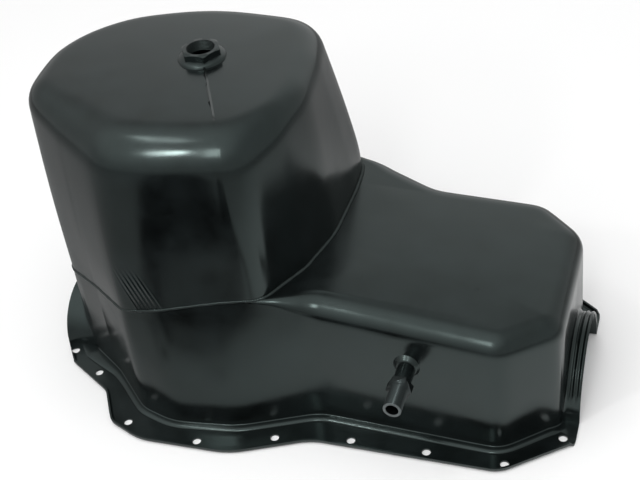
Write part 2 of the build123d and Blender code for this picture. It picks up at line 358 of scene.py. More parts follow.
def smoothed(name: str, mesh: bmesh.types.BMesh, sharp_degrees: float) -> bpy.types.Object:
    """Frees a bmesh into a smooth shaded piece that rides on the pan."""
    for face in mesh.faces:
        face.smooth = True
    piece = placed(name, mesh)
    piece.data.set_sharp_from_angle(angle=math.radians(sharp_degrees))
    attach(piece, "root")
    LOG.info("%s: %d faces", name, len(piece.data.polygons))
    return piece


def finished(name: str, mesh: bmesh.types.BMesh, sharp_degrees: float = 48.0) -> bpy.types.Object:
    """Turns the normals of a new shape outwards and makes a piece of it.

    Args:
        name: name of the piece.
        mesh: its shape, in metres.
        sharp_degrees: edges that bend more than this stay sharp.

    Returns:
        The new object.
    """
    bmesh.ops.recalc_face_normals(mesh, faces=mesh.faces)
    return smoothed(name, mesh, sharp_degrees)


def bake_modifiers(piece: bpy.types.Object, sharp_degrees: float = 40.0) -> None:
    """Turns a piece's live modifiers into its mesh."""
    shaped = bpy.data.meshes.new_from_object(piece.evaluated_get(bpy.context.evaluated_depsgraph_get()))
    piece.modifiers.clear()
    piece.data = shaped
    shaped.set_sharp_from_angle(angle=math.radians(sharp_degrees))


def thicken(piece: bpy.types.Object, sheet: float) -> None:
    """Gives an outer skin the thickness of its sheet, inwards.

    Args:
        piece: skin whose normals point outwards.
        sheet: thickness in millimetres.
    """
    shell = piece.modifiers.new("sheet", "SOLIDIFY")
    shell.thickness = sheet * MM
    shell.offset = -1.0
    bake_modifiers(piece)
    low, high = CAD_BOX
    for vert in piece.data.vertices:
        vert.co = [min(max(place, least), most) for place, least, most in zip(vert.co, low, high)]


def copied(name: str, node: str, sharp_degrees: float = 30.0) -> bpy.types.Object:
    """Merged and smoothed copy of a CAD node, which it replaces."""
    mesh = bmesh.new()
    mesh.from_mesh(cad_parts[node].data)
    bmesh.ops.remove_doubles(mesh, verts=mesh.verts, dist=0.002 * MM)
    piece = smoothed(name, mesh, sharp_degrees)
    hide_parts(node)
    return piece


# ---- finishes ----------------------------------------------------------------------------


def linear(code: str) -> tuple[float, float, float, float]:
    """Linear colour of an sRGB hex code."""
    channels = [int(code[start:start + 2], 16) / 255 for start in (1, 3, 5)]
    red, green, blue = (c / 12.92 if c <= 0.04045 else ((c + 0.055) / 1.055) ** 2.4 for c in channels)
    return red, green, blue, 1.0


def add_node(tree: bpy.types.NodeTree, kind: str, settings: dict | None = None,
             inputs: dict | None = None) -> bpy.types.Node:
    """Adds a node to a tree.

    Args:
        tree: node tree of a material or the world.
        kind: Blender's name of the node type.
        settings: attributes of the node to set.
        inputs: socket name or number to a value, or to a socket to link from.

    Returns:
        The new node.
    """
    node = tree.nodes.new(kind)
    for key, value in (settings or {}).items():
        setattr(node, key, value)
    for key, value in (inputs or {}).items():
        if isinstance(value, bpy.types.NodeSocket):
            tree.links.new(value, node.inputs[key])
        else:
            node.inputs[key].default_value = value
    return node


def blank_material(name: str) -> tuple[bpy.types.Material, bpy.types.NodeTree]:
    """New material and its empty node tree."""
    material = bpy.data.materials.new(name)
    material.use_nodes = True
    material.node_tree.nodes.clear()
    return material, material.node_tree


def math_value(tree: bpy.types.NodeTree, operation: str, *values: float) -> bpy.types.NodeSocket:
    """Result of a sum on numbers or sockets."""
    node = add_node(tree, "ShaderNodeMath", {"operation": operation}, dict(enumerate(values)))
    return node.outputs["Value"]


def vector_value(tree: bpy.types.NodeTree, operation: str, first: bpy.types.NodeSocket,
                 second: tuple[float, float, float]) -> bpy.types.NodeSocket:
    """Number that a vector sum gives."""
    node = add_node(tree, "ShaderNodeVectorMath", {"operation": operation}, {0: first, 1: second})
    return node.outputs["Value"]


def noise_value(tree: bpy.types.NodeTree, place: bpy.types.NodeSocket, size_mm: float,
                **inputs: float) -> bpy.types.NodeSocket:
    """Noise whose features are about as large as the given size."""
    node = add_node(tree, "ShaderNodeTexNoise", {}, {"Vector": place, "Scale": 1000 / size_mm, **inputs})
    return node.outputs["Fac"]


def mapped(tree: bpy.types.NodeTree, value: bpy.types.NodeSocket, source: tuple[float, float],
           goal: tuple[float, float] = (0.0, 1.0), soft: bool = False) -> bpy.types.NodeSocket:
    """Value carried from one range to another.

    Args:
        tree: node tree of a material or the world.
        value: what is mapped.
        source: range it comes from.
        goal: range it goes to.
        soft: whether it eases in and out.

    Returns:
        Socket with the result.
    """
    settings = {"interpolation_type": "SMOOTHSTEP"} if soft else {}
    node = add_node(tree, "ShaderNodeMapRange", settings,
                    {"Value": value, "From Min": source[0], "From Max": source[1], "To Min": goal[0],
                     "To Max": goal[1]})
    return node.outputs["Result"]


def bumped(tree: bpy.types.NodeTree, height: bpy.types.NodeSocket, depth_mm: float,
           under: bpy.types.NodeSocket | None = None) -> bpy.types.NodeSocket:
    """Normal of a surface with the given relief, laid over the relief under it."""
    inputs = {"Height": height, "Strength": 1.0, "Distance": depth_mm * MM}
    if under:
        inputs["Normal"] = under
    return add_node(tree, "ShaderNodeBump", {}, inputs).outputs["Normal"]


@dataclass(frozen=True)
class CoatedSteel:
    """Gloss black electro-coat over steel: a thin even film with a faint orange peel."""

    name: str
    colour: str = "#050606"
    dust_colour: str = "#111516"
    gloss_tint: str = "#e6fffb"
    index: float = 1.56
    roughness_low: float = 0.14
    roughness_high: float = 0.27
    peel_mm: float = 2.2
    peel_depth_mm: float = 0.012
    wave_mm: float = 75.0
    wave_depth_mm: float = 0.55
    wrinkle_depth_mm: float = 0.0
    thread_pitch_mm: float = 0.0
    thread_depth_mm: float = 0.3
    thread_reach_mm: tuple[float, float] = (14.5, 14.7)
    smudge_mm: float = 55.0
    pleat_pitch_mm: float = 5.3
    pleat_lean: float = 0.45
    pleat_middle_mm: float = -62.5
    pleat_half_width_mm: tuple[float, float] = (9.0, 18.0)
    pleat_heights_mm: tuple[float, float] = (148.0, 196.0)
    pleat_depths_mm: tuple[float, float] = (-118.0, -108.0)

    def wrinkles(self, tree: bpy.types.NodeTree, place: bpy.types.NodeSocket) -> bpy.types.NodeSocket:
        """Height of the draw wrinkles that lean up the near wall from the seam: a few soft pleats.

        Args:
            tree: node tree of the material.
            place: object coordinates.

        Returns:
            Socket with the height, from -1 to 1.
        """
        axes = add_node(tree, "ShaderNodeSeparateXYZ", {}, {0: place})
        across = vector_value(tree, "DOT_PRODUCT", place, (1, 0, self.pleat_lean))
        phase = math_value(tree, "MULTIPLY", across, 2 * math.pi / (self.pleat_pitch_mm * MM))
        height = math_value(tree, "SINE", phase)
        off = math_value(tree, "ABSOLUTE", math_value(tree, "ADD", across, -self.pleat_middle_mm * MM))
        limits = ((off, self.pleat_half_width_mm), (axes.outputs["Z"], self.pleat_heights_mm),
                  (axes.outputs["Y"], self.pleat_depths_mm))
        for value, (full, none) in limits:
            fade = mapped(tree, value, (full * MM, none * MM), (1.0, 0.0), soft=True)
            height = math_value(tree, "MULTIPLY", height, fade)
        return height

    def thread(self, tree: bpy.types.NodeTree, place: bpy.types.NodeSocket) -> bpy.types.NodeSocket:
        """Height of the drain's thread: fine ridges round its bore, which catch the light one by one.

        Args:
            tree: node tree of the material.
            place: object coordinates.

        Returns:
            Socket with the height, from -1 to 1.
        """
        axes = add_node(tree, "ShaderNodeSeparateXYZ", {}, {0: place})
        flat = add_node(tree, "ShaderNodeCombineXYZ", {}, {0: axes.outputs["X"], 1: axes.outputs["Y"]})
        away = vector_value(tree, "DISTANCE", flat.outputs["Vector"], (DRAIN_X * MM, DRAIN_Y * MM, 0.0))
        near, far = self.thread_reach_mm
        bore = mapped(tree, away, (near * MM, far * MM), (1.0, 0.0))
        phase = math_value(tree, "MULTIPLY", axes.outputs["Z"], 2 * math.pi / (self.thread_pitch_mm * MM))
        return math_value(tree, "MULTIPLY", math_value(tree, "SINE", phase), bore)

    def build(self) -> bpy.types.Material:
        """Builds the material."""
        material, tree = blank_material(self.name)
        place = add_node(tree, "ShaderNodeTexCoord").outputs["Object"]
        smudge = noise_value(tree, place, self.smudge_mm, Detail=5.0, Roughness=0.6)
        tone = mapped(tree, smudge, (0.35, 0.7))
        colour = add_node(tree, "ShaderNodeMix", {"data_type": "RGBA"},
                          {"Factor": tone, 6: linear(self.colour), 7: linear(self.dust_colour)})
        rough = mapped(tree, smudge, (0.3, 0.75), (self.roughness_low, self.roughness_high))
        wave = noise_value(tree, place, self.wave_mm, Detail=1.0, Roughness=0.3)
        relief = bumped(tree, wave, self.wave_depth_mm)
        if self.wrinkle_depth_mm:
            relief = bumped(tree, self.wrinkles(tree, place), self.wrinkle_depth_mm, relief)
        if self.thread_pitch_mm:
            relief = bumped(tree, self.thread(tree, place), self.thread_depth_mm, relief)
        peel = noise_value(tree, place, self.peel_mm, Detail=2.0)
        relief = bumped(tree, peel, self.peel_depth_mm, relief)
        shader = add_node(tree, "ShaderNodeBsdfPrincipled", {},
                          {"Base Color": colour.outputs[2], "Roughness": rough, "Normal": relief,
                           "IOR": self.index, "Specular Tint": linear(self.gloss_tint)})
        add_node(tree, "ShaderNodeOutputMaterial", {}, {"Surface": shader.outputs["BSDF"]})
        return material


@dataclass(frozen=True)
class MachinedSteel:
    """Turned steel blackened by its finish, with bare metal at the sawn end of the tube."""

    name: str
    colour: str = "#0a0c0c"
    bare_colour: str = "#6d7273"
    gloss_tint: str = "#ddf2f2"
    roughness: float = 0.27
    grain_mm: float = 0.9
    grain_depth_mm: float = 0.02
    bare_end_mm: float = -171.6
    bare_fade_mm: float = 0.2

    def build(self) -> bpy.types.Material:
        """Builds the material."""
        material, tree = blank_material(self.name)
        place = add_node(tree, "ShaderNodeTexCoord").outputs["Object"]
        grain = noise_value(tree, place, self.grain_mm, Detail=3.0)
        axes = add_node(tree, "ShaderNodeSeparateXYZ", {}, {0: place})
        bare = (self.bare_end_mm * MM, (self.bare_end_mm - self.bare_fade_mm) * MM)
        end = mapped(tree, axes.outputs["Y"], bare)
        speckled = math_value(tree, "MULTIPLY", end, grain)
        colour = add_node(tree, "ShaderNodeMix", {"data_type": "RGBA"},
                          {"Factor": speckled, 6: linear(self.colour), 7: linear(self.bare_colour)})
        shader = add_node(tree, "ShaderNodeBsdfPrincipled", {},
                          {"Base Color": colour.outputs[2], "Roughness": self.roughness,
                           "Specular Tint": linear(self.gloss_tint),
                           "Normal": bumped(tree, grain, self.grain_depth_mm)})
        add_node(tree, "ShaderNodeOutputMaterial", {}, {"Surface": shader.outputs["BSDF"]})
        return material


# ---- pieces ------------------------------------------------------------------------------


@dataclass
class SumpBowl:
    """Deep-drawn bowl with a rounded floor, drawn walls and the drain hole."""

    finish: bpy.types.Material
    sheet: float = 2.0
    floor_radius: float = 25.0
    near_extra: float = 15.0
    near_reach: tuple[float, float] = (20.0, 105.0)
    wall_rows: int = 26
    edge_rows: int = 12
    floor_rows: int = 14
    floor_crown: float = 1.6
    wall_crown: float = 1.6
    drain_hole: float = 15.2
    seam: Seam = field(default_factory=Seam)

    def __post_init__(self) -> None:
        """Samples the walls."""
        top = LEFT_FAR_TOP + LEFT_NEAR_TOP + [BOWL_NEAR_TOP_CORNER] + BOWL_RIGHT_TOP + [BOWL_FAR_TOP_CORNER]
        self.walls = Walls(bowl_sections() + [(BOWL_HEIGHT, top)])
        self.count = len(self.walls.loops[0])
        self.seam_heights = [self.walls.seam_height(index, self.seam) for index in range(self.count)]
        self.radii = [self.floor_radius + self.near_extra * smooth_share(-point.y, *self.near_reach)
                      for point in self.walls.loops[2]]

    def wall_row(self, share: float) -> Loop:
        """Ring of the wall at a share of the way from the seam to the floor's rounding."""
        top = BOWL_HEIGHT - self.floor_crown
        heights = [low + (top - radius - low) * share for low, radius in zip(self.seam_heights, self.radii)]
        ring = [self.walls.column(index, height) for index, height in enumerate(heights)]
        bulge = self.wall_crown * math.sin(math.pi * share)
        return [lifted(point + normal * bulge, height)
                for point, normal, height in zip(ring, outward(ring), heights)]

    def edge_row(self, angle: float) -> Loop:
        """Ring of the rounding between the walls and the floor."""
        top = BOWL_HEIGHT - self.floor_crown
        heights = [top - radius * (1 - math.sin(angle)) for radius in self.radii]
        ring = [self.walls.column(index, height) for index, height in enumerate(heights)]
        return [lifted(point - normal * radius * (1 - math.cos(angle)), height)
                for point, normal, radius, height in zip(ring, outward(ring), self.radii, heights)]

    def floor_row(self, rim: Loop, share: float) -> Loop:
        """Ring of the floor at a share of the way from its rim to the drain hole."""
        drain = Vector((DRAIN_X, DRAIN_Y, BOWL_HEIGHT)) * MM
        ring: Loop = []
        for point in rim:
            spoke = point - drain
            spoke.z = 0
            goal = drain + spoke.normalized() * self.drain_hole * MM
            place = point.lerp(goal, share)
            place.z = (BOWL_HEIGHT - self.floor_crown * (1 - share) ** 2) * MM
            ring.append(place)
        return ring

    def build(self) -> bpy.types.Object:
        """Builds the bowl and hides the plain node."""
        skin = Skin(self.wall_row(0.0))
        for row in range(1, self.wall_rows + 1):
            skin.grow(self.wall_row(row / self.wall_rows))
        rim: Loop = []
        for row in range(1, self.edge_rows + 1):
            rim = self.edge_row(math.pi / 2 * row / self.edge_rows)
            skin.grow(rim)
        for row in range(1, self.floor_rows + 1):
            skin.grow(self.floor_row(rim, row / self.floor_rows))
        piece = finished("drawn_bowl", skin.mesh)
        thicken(piece, self.sheet)
        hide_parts("sump_bowl")
        piece.data.materials.append(self.finish)
        return piece


@dataclass
class RailColumn:
    """One upright line of the tray: where it starts on the rail, and its foot and top."""

    rim: Vector
    foot: Vector
    top: Vector
    normal: Vector
    lip: float
    step: float
    extra: float
    arch_radius: float = 0.0
    arch_side: int = 0
    arch_angle: float = 0.0


@dataclass
class UpperTray:
    """Shallow pressed tray with its bolt rail, raised step and seal arches."""

    finish: bpy.types.Material
    sheet: float = 2.0
    lip_height: float = 6.0
    step_height: float = 5.2
    step_width: float = 7.0
    step_crest: float = 2.2
    step_spread: float = 1.2
    edge_radius: float = 22.0
    small_edge: float = 3.0
    arch_radii: tuple[float, float] = (54.1, 67.5)
    arch_steps: int = 40
    arch_fillet: float = 4.0
    rib_pitch: float = 5.0
    rib_height: float = 1.3
    rib_edge: float = 2.1
    rib_half_width: float = 1.9
    rib_foot_degrees: float = 24.0
    hole_radius: float = 4.5
    cutter_length: float = 20.0
    wall_rows: int = 12
    edge_rows: int = 10
    deck_rows: int = 14
    wall_start: float = 12.0
    wall_crown: float = 1.2
    deck_crown: float = 2.2
    deck_half_width: float = 96.0
    mouth_pace: tuple[tuple[float, float], ...] = ((0.0, 0.0), (0.068, 0.155), (0.87, 0.78), (1.0, 1.0))
    seam: Seam = field(default_factory=Seam)
    rail_corners: list[Corner] = field(default_factory=lambda: [
        (-288.6, -72.5, 4), (-210.5, -121, 22), (-186, -162.5, 20), (-148, -179, 60), (-48, -179, 90),
        (30, -145.5, 60), (223, -148.3, 30), (288.6, -97, 12), (288.6, 97, 12), (223, 148.3, 30),
        (117, 146, 60), (61, 179, 70), (-134, 179, 90), (-229, 145.5, 50), (-288.6, 81.3, 10)])
    holes: list[tuple[float, float]] = field(default_factory=lambda: [
        (148, -136), (226, -136), (148, 136), (226, 136), (276, -91.5), (276, 91.5), (-274, -66.4),
        (-274, 66.4), (-231.7, -94.2), (-168.5, -157.5), (-86, -168.4), (-7.8, -147.8), (70, -136),
        (-222, 137), (-146, 163.5), (-64, 168), (14, 168), (88, 150.5)])

    def __post_init__(self) -> None:
        """Samples the walls, the rail and the line where the bowl stands."""
        foot = LEFT_FAR_FOOT + LEFT_NEAR_FOOT + TRAY_RIGHT_FOOT
        join = LEFT_FAR_JOIN + LEFT_NEAR_JOIN + TRAY_RIGHT_JOIN
        self.walls = Walls([(FOOT_HEIGHT, foot), (JOIN_HEIGHT, join)])
        self.rail = rounded_outline(self.rail_corners, 10, 4)
        bowl = Walls(bowl_sections())
        per_corner = bowl.arc_steps + bowl.side_steps
        first = (len(LEFT_FAR_FOOT) + len(LEFT_NEAR_FOOT)) * per_corner
        last = len(bowl.loops[0]) - bowl.side_steps + 1
        self.mouth = [bowl.column(index, bowl.seam_height(index, self.seam)) for index in range(first, last)]

    def rim_point(self, start: Vector, heading: Vector) -> Vector:
        """Point where a ray from the wall's foot leaves the rail."""
        best = 1e9
        count = len(self.rail)
        for index in range(count):
            a, b = self.rail[index], self.rail[(index + 1) % count]
            side = b - a
            cross = heading.x * side.y - heading.y * side.x
            if abs(cross) < 1e-9:
                continue
            gap = a - start
            reach = (gap.x * side.y - gap.y * side.x) / cross
            share = (gap.x * heading.y - gap.y * heading.x) / cross
            if reach > 0 and -1e-6 <= share <= 1 + 1e-6:
                best = min(best, reach)
        return start + heading * best

    def wall_x(self, side: int, y: float, height: float) -> float:
        """Place of an end wall along the pan, at a place across it and a height."""
        count = len(self.walls.loops[0])
        best = 0.0
        previous = self.walls.column(count - 1, height)
        for index in range(count):
            point = self.walls.column(index, height)
            low, high = sorted((previous.y, point.y))
            if low <= y <= high and high - low > 1e-9 and point.x * side > 0:
                share = (y - previous.y) / (point.y - previous.y)
                x = previous.x + (point.x - previous.x) * share
                best = max(best, x * side)
            previous = point
        return best * side

    def top_height(self, point: Vector, edge: float) -> float:
        """Height at which the wall ends under the seam or the rounding of the tray's floor."""
        return self.seam.height(point.x) - edge

    def columns(self) -> list[RailColumn]:
        """Upright lines of the tray in order, with arch lines in place of those the arches cut."""
        base = [self.walls.column(index, 2.0) for index in range(len(self.walls.loops[0]))]
        normals = outward(base)
        result: list[RailColumn] = []
        waiting = 0
        for index, (point, normal) in enumerate(zip(base, normals)):
            side = 1 if point.x > 0 else -1
            radius = self.arch_radii[side > 0] + self.arch_fillet
            if abs(point.x) > 200 and abs(point.y) < radius + 1.0:
                waiting = side
                continue
            if waiting:
                result += self.arch_columns(waiting, result[-1].top.y, self.walls.column(index, 120.0).y)
                waiting = 0
            rim = self.rim_point(point, normal)
            lip = 0.0 if abs(rim.x) > 286 and abs(rim.y) < 130 else 1.0
            step = 1.0 - smooth_share(abs(point.x), 258, 271)
            extra = 8.0 * smooth_share(-point.x, 188, 250) * (1.0 if point.y < 0 else 0.0)
            result.append(RailColumn(rim, point, self.walls.column(index, 120.0), normal, lip, step, extra))
        return result

    def arch_columns(self, side: int, first_y: float, last_y: float) -> list[RailColumn]:
        """Lines that run along an arch and up the end wall above it.

        Args:
            side: 1 for the right end, -1 for the left.
            first_y: place across the pan of the line before the first, at the top.
            last_y: the same of the line after the last.

        Returns:
            The lines in order.
        """
        radius = self.arch_radii[side > 0]
        outer = radius + self.arch_fillet
        lines: list[RailColumn] = []
        for step in range(self.arch_steps + 1):
            angle = math.pi * step / self.arch_steps
            y = -side * math.cos(angle)
            height = max(outer * math.sin(angle), 2.0)
            foot = Vector((self.wall_x(side, outer * y, height), outer * y))
            rim = Vector((side * 288.6, radius * y))
            top_y = first_y + (last_y - first_y) * (step + 1) / (self.arch_steps + 2)
            top = Vector((self.wall_x(side, top_y, 120.0), top_y))
            lines.append(RailColumn(rim, foot, top, Vector((side, 0.0)), 0.0, 0.0, 0.0, radius, side, angle))
        return lines

    def rail_profile(self, column: RailColumn) -> Loop:
        """Points of one line from the rim to the foot of the wall."""
        inward = (column.foot - column.rim).normalized()
        width = (column.foot - column.rim).length
        lip = self.lip_height * column.lip
        low = self.sheet
        reach = self.step_width + column.extra
        rise = (self.step_height - low) * column.step
        bend = self.sheet * column.lip
        climb = max(lip - low, 0)
        near_lip = [(bend, max(lip, low)), (bend + 0.05, low + 0.62 * climb),
                    (bend + 0.2, low + 0.34 * climb), (bend + 0.6, low + 0.12 * climb),
                    (bend + 1.3, low + 0.02 * climb), (bend + 2.2, low)]
        crest = self.step_crest
        turns = [math.radians(turn) for turn in (0, 9, 20, 33, 47, 61, 75, 90)]
        span = reach + self.step_spread - crest
        from_foot = [(crest + span * math.cos(turn), math.sin(turn)) for turn in turns]
        middle = (bend + 2.2 + width - reach - 2.2) / 2
        points = near_lip + [(middle, low)]
        points += [(width - away, low + rise * share) for away, share in from_foot]
        blend = [(1.4, 0.0), (0.8, 0.12), (0.42, 0.5), (0.2, 1.2), (0.1, 2.4)]
        points += [(width - away, low + rise + up) for away, up in blend]
        return [lifted(column.rim + inward * along, height) for along, height in points]

    def arch_profile(self, column: RailColumn, rows: int) -> Loop:
        """Points of one line along an arch, from its rim to the end wall."""
        side, angle = column.arch_side, column.arch_angle
        y = -side * math.cos(angle)
        height = math.sin(angle)
        points: Loop = []
        length = abs(column.rim.x) - abs(column.foot.x) - self.arch_fillet
        fillet_rows = 5
        window = smooth_share(math.degrees(min(angle, math.pi - angle)), self.rib_foot_degrees - 3,
                              self.rib_foot_degrees + 3)
        for row in range(rows - fillet_rows):
            along = length * row / (rows - fillet_rows)
            rib = 0.0
            if side > 0:
                for number in range(3):
                    away = abs(along - self.rib_edge - number * self.rib_pitch)
                    swell = math.cos(min(away / self.rib_half_width, 1.0) * math.pi / 2)
                    rib = max(rib, self.rib_height * window * swell)
            radius = column.arch_radius + rib
            x = column.rim.x - side * along
            points.append(Vector((x, radius * y, max(radius * height, self.sheet))) * MM)
        for row in range(fillet_rows):
            turn = math.pi / 2 * row / fillet_rows
            radius = column.arch_radius + self.arch_fillet * (1 - math.cos(turn))
            x = column.foot.x + side * self.arch_fillet * (1 - math.sin(turn))
            points.append(Vector((x, radius * y, max(radius * height, self.sheet))) * MM)
        return points

    def wall_profile(self, column: RailColumn, index: int, edge: float) -> Loop:
        """Points of one line up the wall, to where its rounding or the seam begins."""
        points: Loop = []
        if column.arch_side:
            outer = column.arch_radius + self.arch_fillet
            low = max(outer * math.sin(column.arch_angle), self.sheet)
            goal = self.top_height(column.top, edge)
            for row in range(self.wall_rows + 1):
                share = row / self.wall_rows
                height = low + (goal - low) * share
                y = column.foot.y + (column.top.y - column.foot.y) * share
                points.append(lifted(Vector((self.wall_x(column.arch_side, y, height), y)), height))
            return points
        goal = self.top_height(column.top, edge)
        for _ in range(5):
            goal = self.top_height(self.walls.column(index, goal), edge)
        for row in range(self.wall_rows + 1):
            share = row / self.wall_rows
            height = self.wall_start + (goal - self.wall_start) * share
            bulge = column.normal * self.wall_crown * math.sin(math.pi * share)
            points.append(lifted(self.walls.column(index, height) + bulge, height))
        return points

    def build(self) -> bpy.types.Object:
        """Builds the tray, cuts its holes and hides the plain node."""
        columns = self.columns()
        order = self.walls.loops[0]
        feet = [self.walls.column(index, 2.0) for index in range(len(order))]
        numbers = [min(range(len(feet)), key=lambda k: (feet[k] - column.foot).length) for column in columns]
        mouth_near, mouth_far = self.mouth[0], self.mouth[-1]
        right = [column.foot.x > (mouth_near.x if column.foot.y < 0 else mouth_far.x) for column in columns]
        edges = []
        for column, on_right in zip(columns, right):
            away = column.foot.x - (mouth_near.x if column.foot.y < 0 else mouth_far.x)
            grown = smooth_share(away, 0.0, 75.0) if on_right else 0.0
            edges.append(self.small_edge + (self.edge_radius - self.small_edge) * grown if on_right else 0.0)
        profiles = []
        for column, number, edge in zip(columns, numbers, edges):
            rail = self.rail_profile(column)
            if column.arch_side:
                rail = self.arch_profile(column, len(rail))
            profiles.append(rail + self.wall_profile(column, number, edge))
        skin = Skin([profile[0] for profile in profiles])
        for row in range(1, len(profiles[0])):
            skin.grow([profile[row] for profile in profiles])
        self.deck(skin, columns, right, edges)
        bmesh.ops.remove_doubles(skin.mesh, verts=skin.mesh.verts, dist=0.02 * MM)
        piece = finished("pressed_tray", skin.mesh)
        thicken(piece, self.sheet)
        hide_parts("upper_tray")
        piece.data.materials.append(self.finish)
        self.cut_holes(piece)
        return piece

    def deck(self, skin: Skin, columns: list[RailColumn], right: list[bool], edges: list[float]) -> None:
        """Adds the tray's floor between its rounded edge and the mouth of the bowl.

        Args:
            skin: sheet whose newest ring is the top of the walls.
            columns: upright lines in order.
            right: whether each line is on the floor's part of the tray.
            edges: rounding radius of each line.
        """
        count = len(columns)
        first = next(k for k in range(count) if right[k] and not right[k - 1])
        chain = [(first + k) % count for k in range(sum(right))]
        verts = [skin.verts[k] for k in chain]
        lines = [edge for edge in skin.edges if edge.verts[0] in verts and edge.verts[1] in verts]
        tops = [vert.co.copy() / MM for vert in verts]
        flat = [Vector((point.x, point.y)) for point in tops]
        normals = []
        for k in range(len(flat)):
            along = flat[min(k + 1, len(flat) - 1)] - flat[max(k - 1, 0)]
            normals.append(Vector((along.y, -along.x)).normalized())
        rows: list[Loop] = []
        for row in range(1, self.edge_rows + 1):
            angle = math.pi / 2 * row / self.edge_rows
            ring = []
            for point, normal, k in zip(flat, normals, chain):
                place = point - normal * edges[k] * (1 - math.cos(angle))
                height = self.seam.height(place.x) - edges[k] * (1 - math.sin(angle))
                ring.append(lifted(place, height))
            rows.append(ring)
        rim = [Vector((point.x, point.y)) / MM for point in rows[-1]]
        goals = spread(self.mouth, rim, self.mouth_pace)
        for row in range(1, self.deck_rows + 1):
            share = row / self.deck_rows
            places = [point.lerp(goal, share) for point, goal in zip(rim, goals)]
            crown = self.deck_crown * smooth_share(1 - share, 0.0, 0.35)
            rises = [crown * max(1 - (place.y / self.deck_half_width) ** 2, 0.0) for place in places]
            rows.append([lifted(place, self.seam.height(place.x) + rise)
                         for place, rise in zip(places, rises)])
        skin.verts, skin.edges = verts, lines
        for ring in rows:
            skin.grow(ring)

    def cut_holes(self, piece: bpy.types.Object) -> None:
        """Cuts the bolt holes through the rail."""
        mesh = bmesh.new()
        for x, y in self.holes:
            place = Matrix.Translation(Vector((x, y, 2.0)) * MM)
            bmesh.ops.create_cone(mesh, cap_ends=True, segments=32, radius1=self.hole_radius * MM,
                                  radius2=self.hole_radius * MM, depth=self.cutter_length * MM, matrix=place)
        cutter = placed("cutter", mesh)
        cut = piece.modifiers.new("holes", "BOOLEAN")
        cut.operation = "DIFFERENCE"
        cut.solver = "EXACT"
        cut.object = cutter
        bake_modifiers(piece)
        bpy.data.objects.remove(cutter)


@dataclass
class SeamBead:
    """Weld bead that joins the bowl to the tray, laid in overlapping ripples round the seam."""

    finish: bpy.types.Material
    pitch: float = 0.7
    ripple: float = 2.6
    wall_reach: float = 1.1
    deck_reach: float = 2.2
    wall_half_height: float = 1.3
    deck_half_height: float = 2.1
    buried: float = 1.6
    sides: int = 10
    seam: Seam = field(default_factory=Seam)

    def path(self) -> tuple[Loop, Loop]:
        """Evenly spaced points along the foot of the bowl, and the directions out of its wall."""
        walls = Walls(bowl_sections())
        heights = [walls.seam_height(index, self.seam) for index in range(len(walls.loops[0]))]
        corners = [walls.column(index, height) for index, height in enumerate(heights)]
        corners.append(corners[0])
        lengths = [(end - start).length for start, end in zip(corners, corners[1:])]
        count = int(sum(lengths) / self.pitch)
        places: Loop = []
        leg, passed = 0, 0.0
        for number in range(count):
            goal = sum(lengths) * number / count
            while passed + lengths[leg] < goal:
                passed += lengths[leg]
                leg += 1
            places.append(corners[leg].lerp(corners[leg + 1], (goal - passed) / lengths[leg]))
        return places, outward(places)

    def ring(self, places: Loop, normals: Loop, angle: float) -> Loop:
        """Line along the bead at one angle of its section, with the ripples of the weld."""
        ripples = round(len(places) * self.pitch / self.ripple)
        result: Loop = []
        for number, (place, normal) in enumerate(zip(places, normals)):
            height = self.seam.height(place.x)
            spot = Vector((place.x, place.y, height))
            grown = smooth_share(place.x, -45.0, 5.0)
            turn = 2 * math.pi * ripples * number / len(places)
            turn += 0.9 * abs(math.sin(angle)) + 1.6 * noise.noise(spot / 17.0)
            swell = 1.0 + 0.16 * math.sin(turn) + 0.30 * noise.noise(spot / 5.0)
            reach = (self.wall_reach + (self.deck_reach - self.wall_reach) * grown) * swell
            half = (self.wall_half_height + (self.deck_half_height - self.wall_half_height) * grown) * swell
            wander = 0.5 * noise.noise(spot / 14.0)
            out = reach * math.cos(angle) if math.cos(angle) > 0 else -self.buried
            result.append(lifted(place + normal * out, height + wander + half * math.sin(angle)))
        return result

    def build(self) -> bpy.types.Object:
        """Builds the bead and hides the plain node."""
        places, normals = self.path()
        angles = [math.pi * (step / (self.sides - 1) - 0.5) for step in range(self.sides)]
        first = self.ring(places, normals, angles[0])
        skin = Skin(first)
        for angle in angles[1:]:
            skin.grow(self.ring(places, normals, angle))
        skin.grow(first)
        bmesh.ops.remove_doubles(skin.mesh, verts=skin.mesh.verts, dist=0.001 * MM)
        piece = finished("seam_bead", skin.mesh, 75.0)
        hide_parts("bowl_seam_weld")
        piece.data.materials.append(self.finish)
        return piece


@dataclass
class SmallPieces:
    """Welds, drain boss and side fitting."""

    weld: bpy.types.Material
    boss: bpy.types.Material
    steel: bpy.types.Material

    def build(self) -> None:
        """Dresses the small nodes."""
        finishes = {"drain_boss_weld": (self.weld, Slot.WELD), "side_bung_weld": (self.weld, Slot.WELD),
                    "drain_boss": (self.boss, Slot.BOSS),
                    "side_bung": (self.boss, Slot.BOSS), "hose_adapter": (self.steel, Slot.STEEL)}
        for node, (material, slot) in finishes.items():
            piece = copied(f"{node}_dressed", node)
            piece.data.materials.clear()
            piece.data.materials.append(material)


# ---- studio ------------------------------------------------------------------------------


